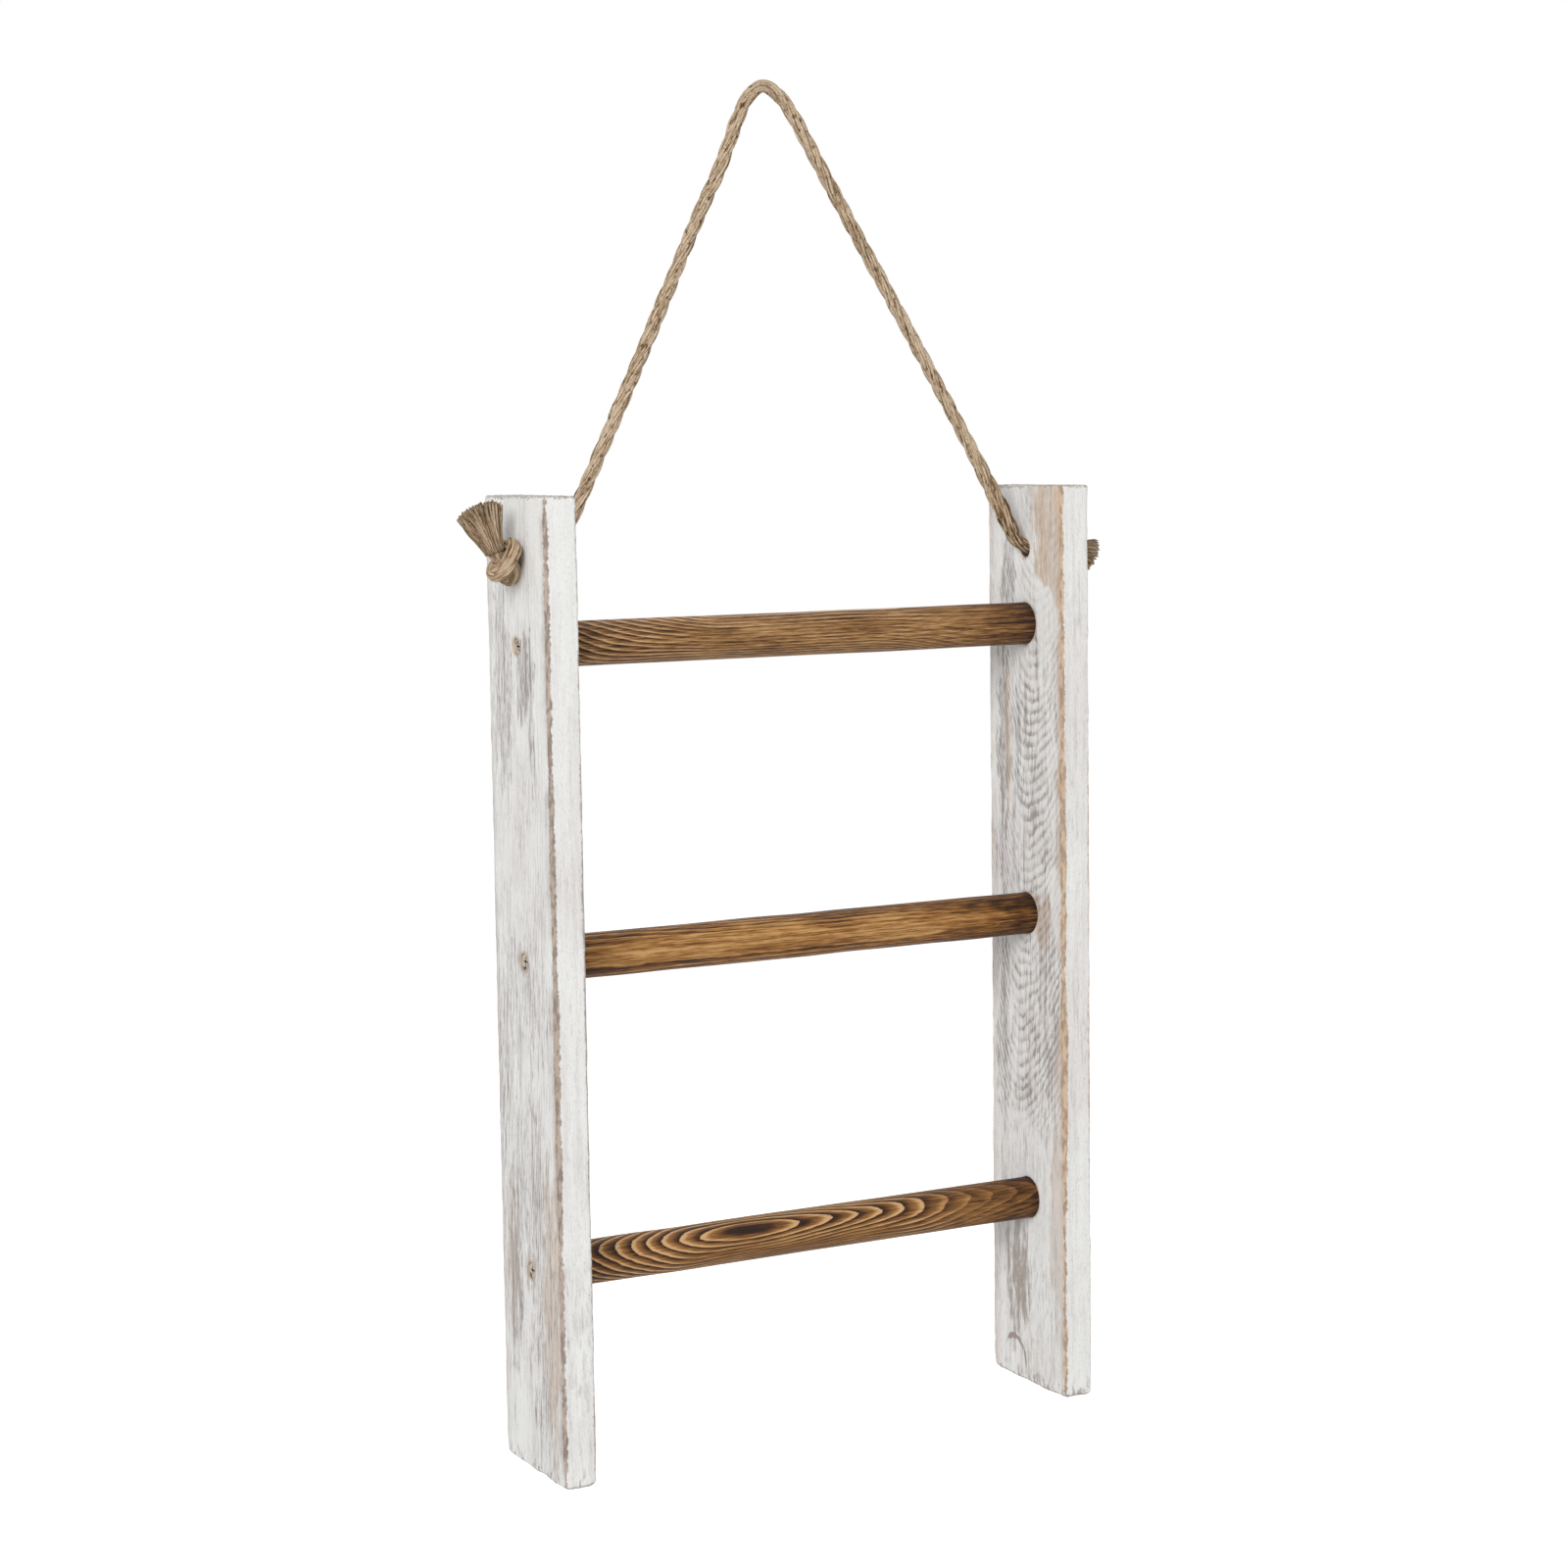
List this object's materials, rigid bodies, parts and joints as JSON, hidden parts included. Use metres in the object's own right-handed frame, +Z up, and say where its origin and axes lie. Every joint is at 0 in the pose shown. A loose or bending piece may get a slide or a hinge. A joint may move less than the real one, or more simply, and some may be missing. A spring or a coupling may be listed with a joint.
{
  "type": "hanging towel ladder",
  "caption": "Rope-hung wooden towel ladder: whitewashed pine posts carry round stained rungs, and a knotted jute rope through the posts hangs it on a wall hook.",
  "frame": {"origin": "underside of the rope's top bend, where it rests on a hook or nail", "axes": "+Z up, along the posts; +X along the rungs, to the right as seen from the front; +Y towards the wall that the posts' back edges touch"},
  "size_m": [0.362, 0.07, 0.6842],
  "materials": {
    "whitewashed_pine": "worn matt whitewash over brushed pine, raw wood showing at the arrises",
    "stained_pine": "scorched and stained pine, satin",
    "screw_steel": "dull, darkened",
    "jute": "three-strand twisted jute, hairy"
  },
  "bodies": {
    "rope": {"hanging_rope": "jute", "left_knot": "jute", "right_knot": "jute", "left_tail": "jute", "right_tail": "jute"},
    "ladder": {"left_post": "whitewashed_pine", "right_post": "whitewashed_pine", "top_rung": "stained_pine", "middle_rung": "stained_pine", "bottom_rung": "stained_pine", "rung_screws": "screw_steel"}
  },
  "joints": [
    {"name": "ladder_swing", "type": "hinge", "parent": "rope", "child": "ladder", "pos_m": [0, -0.0265, -0.23075], "axis": [-1, 0, 0], "range_deg": [-90, 90]}
  ]
}
